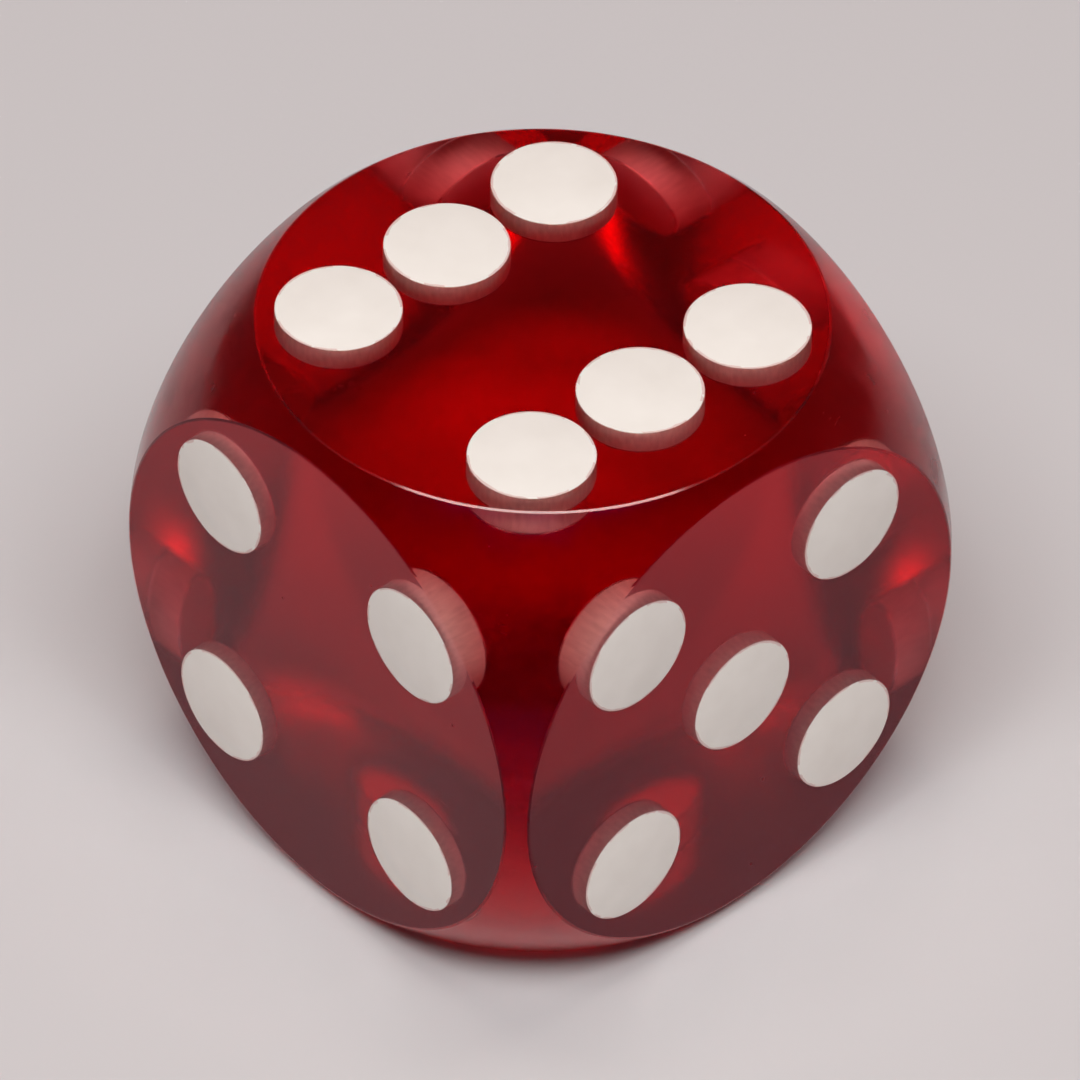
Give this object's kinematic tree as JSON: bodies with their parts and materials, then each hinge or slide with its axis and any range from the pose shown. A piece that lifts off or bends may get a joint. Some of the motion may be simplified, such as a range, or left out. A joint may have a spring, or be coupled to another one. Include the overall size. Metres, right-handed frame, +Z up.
{
  "type": "precision die",
  "caption": "Clear red game die with ball-turned corners, round flat faces and flush white inlaid pips, thrown to pick a number at random.",
  "frame": {"origin": "middle of the flat that carries the one, on the surface that the die stands on", "axes": "+Z up through the six, +X out through the five, -Y out through the four"},
  "size_m": [0.0142, 0.0142, 0.0143],
  "materials": {
    "clear_red": "clear red cellulose acetate, polished",
    "pip_white": "off-white filled plastic, sanded flush and lightly polished"
  },
  "bodies": {
    "root": {"die_body": "clear_red", "six_pip_1": "pip_white", "six_pip_2": "pip_white", "six_pip_3": "pip_white", "six_pip_4": "pip_white", "six_pip_5": "pip_white", "six_pip_6": "pip_white", "five_pip_1": "pip_white", "five_pip_2": "pip_white", "five_pip_3": "pip_white", "five_pip_4": "pip_white", "five_pip_5": "pip_white", "four_pip_1": "pip_white", "four_pip_2": "pip_white", "four_pip_3": "pip_white", "four_pip_4": "pip_white", "three_pip_1": "pip_white", "three_pip_2": "pip_white", "three_pip_3": "pip_white", "two_pip_1": "pip_white", "two_pip_2": "pip_white", "one_pip_1": "pip_white"}
  },
  "joints": []
}
